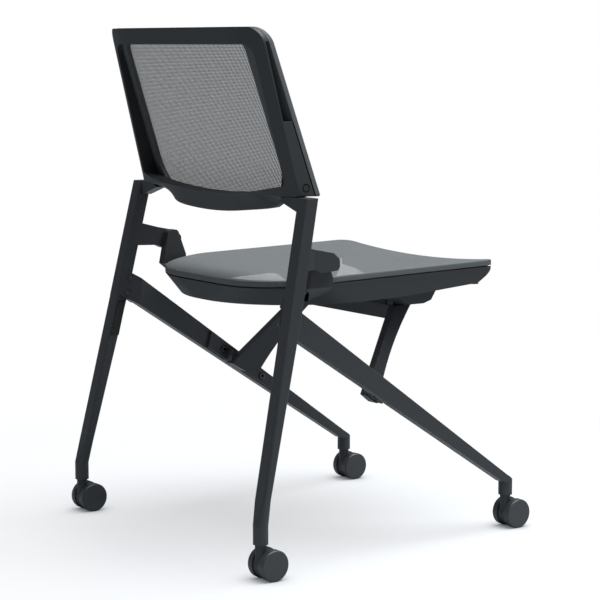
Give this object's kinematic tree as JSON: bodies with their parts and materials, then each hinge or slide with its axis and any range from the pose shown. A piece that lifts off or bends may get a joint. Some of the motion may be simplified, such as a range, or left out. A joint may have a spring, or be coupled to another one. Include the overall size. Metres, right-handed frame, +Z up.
{
  "type": "conference chair",
  "caption": "Black nesting conference chair with a mesh back, a mesh seat that flips up, sloping legs and twin-wheel casters.",
  "frame": {"origin": "middle of the chair's footprint on the floor", "axes": "+Z up, the sitter faces -Y, the sitter's left is +X"},
  "size_m": [0.617, 0.59, 0.8515],
  "materials": {
    "black_paint": "satin powder coat",
    "black_plastic": "fine-grained matt",
    "edge_plastic": "matt",
    "knit_mesh": "open knit",
    "steel": "plain",
    "black_rubber": "matt",
    "wheel_plastic": "satin",
    "bearing_plastic": "smooth"
  },
  "bodies": {
    "frame": {"back_carrier": "edge_plastic", "back_frame": "black_plastic", "back_mesh": "knit_mesh", "back_screw_caps": "black_plastic", "back_screws": "steel", "brace_screws": "steel", "cross_brace": "black_paint", "front_leg_left": "black_paint", "front_leg_right": "black_paint", "leg_joint_bolts": "steel", "nesting_buffers": "black_rubber", "pivot_pins": "steel", "rear_leg_left": "black_paint", "rear_leg_right": "black_paint", "rest_pads": "black_rubber", "caster_sleeves": "bearing_plastic"},
    "seat": {"seat_frame": "black_plastic", "seat_carrier": "edge_plastic", "seat_mesh": "knit_mesh", "seat_screws": "steel", "pivot_bushes": "bearing_plastic"},
    "caster_front_left": {"caster_front_left_housing": "black_plastic", "caster_front_left_stem": "steel", "caster_front_left_axle": "steel"},
    "wheel_front_left_inner": {"caster_front_left_wheel_inner": "wheel_plastic"},
    "wheel_front_left_outer": {"caster_front_left_wheel_outer": "wheel_plastic"},
    "caster_front_right": {"caster_front_right_housing": "black_plastic", "caster_front_right_stem": "steel", "caster_front_right_axle": "steel"},
    "wheel_front_right_inner": {"caster_front_right_wheel_inner": "wheel_plastic"},
    "wheel_front_right_outer": {"caster_front_right_wheel_outer": "wheel_plastic"},
    "caster_rear_left": {"caster_rear_left_housing": "black_plastic", "caster_rear_left_stem": "steel", "caster_rear_left_axle": "steel"},
    "wheel_rear_left_inner": {"caster_rear_left_wheel_inner": "wheel_plastic"},
    "wheel_rear_left_outer": {"caster_rear_left_wheel_outer": "wheel_plastic"},
    "caster_rear_right": {"caster_rear_right_housing": "black_plastic", "caster_rear_right_stem": "steel", "caster_rear_right_axle": "steel"},
    "wheel_rear_right_inner": {"caster_rear_right_wheel_inner": "wheel_plastic"},
    "wheel_rear_right_outer": {"caster_rear_right_wheel_outer": "wheel_plastic"}
  },
  "joints": [
    {"name": "seat_flip", "type": "hinge", "parent": "frame", "child": "seat", "pos_m": [0, 0.13, 0.484], "axis": [-1, 0, 0], "range_deg": [0, 80]},
    {"name": "swivel_front_left", "type": "hinge", "parent": "frame", "child": "caster_front_left", "pos_m": [0.236, -0.256, 0.058], "axis": [0, 0, 1], "continuous": true},
    {"name": "roll_front_left_inner", "type": "hinge", "parent": "caster_front_left", "child": "wheel_front_left_inner", "pos_m": [0.236, -0.27, 0.025], "axis": [1, 0, 0], "continuous": true},
    {"name": "roll_front_left_outer", "type": "hinge", "parent": "caster_front_left", "child": "wheel_front_left_outer", "pos_m": [0.236, -0.27, 0.025], "axis": [1, 0, 0], "continuous": true},
    {"name": "swivel_front_right", "type": "hinge", "parent": "frame", "child": "caster_front_right", "pos_m": [-0.236, -0.256, 0.058], "axis": [0, 0, 1], "continuous": true},
    {"name": "roll_front_right_inner", "type": "hinge", "parent": "caster_front_right", "child": "wheel_front_right_inner", "pos_m": [-0.236, -0.27, 0.025], "axis": [1, 0, 0], "continuous": true},
    {"name": "roll_front_right_outer", "type": "hinge", "parent": "caster_front_right", "child": "wheel_front_right_outer", "pos_m": [-0.236, -0.27, 0.025], "axis": [1, 0, 0], "continuous": true},
    {"name": "swivel_rear_left", "type": "hinge", "parent": "frame", "child": "caster_rear_left", "pos_m": [0.287, 0.283, 0.058], "axis": [0, 0, 1], "continuous": true},
    {"name": "roll_rear_left_inner", "type": "hinge", "parent": "caster_rear_left", "child": "wheel_rear_left_inner", "pos_m": [0.287, 0.269, 0.025], "axis": [1, 0, 0], "continuous": true},
    {"name": "roll_rear_left_outer", "type": "hinge", "parent": "caster_rear_left", "child": "wheel_rear_left_outer", "pos_m": [0.287, 0.269, 0.025], "axis": [1, 0, 0], "continuous": true},
    {"name": "swivel_rear_right", "type": "hinge", "parent": "frame", "child": "caster_rear_right", "pos_m": [-0.287, 0.283, 0.058], "axis": [0, 0, 1], "continuous": true},
    {"name": "roll_rear_right_inner", "type": "hinge", "parent": "caster_rear_right", "child": "wheel_rear_right_inner", "pos_m": [-0.287, 0.269, 0.025], "axis": [1, 0, 0], "continuous": true},
    {"name": "roll_rear_right_outer", "type": "hinge", "parent": "caster_rear_right", "child": "wheel_rear_right_outer", "pos_m": [-0.287, 0.269, 0.025], "axis": [1, 0, 0], "continuous": true}
  ]
}
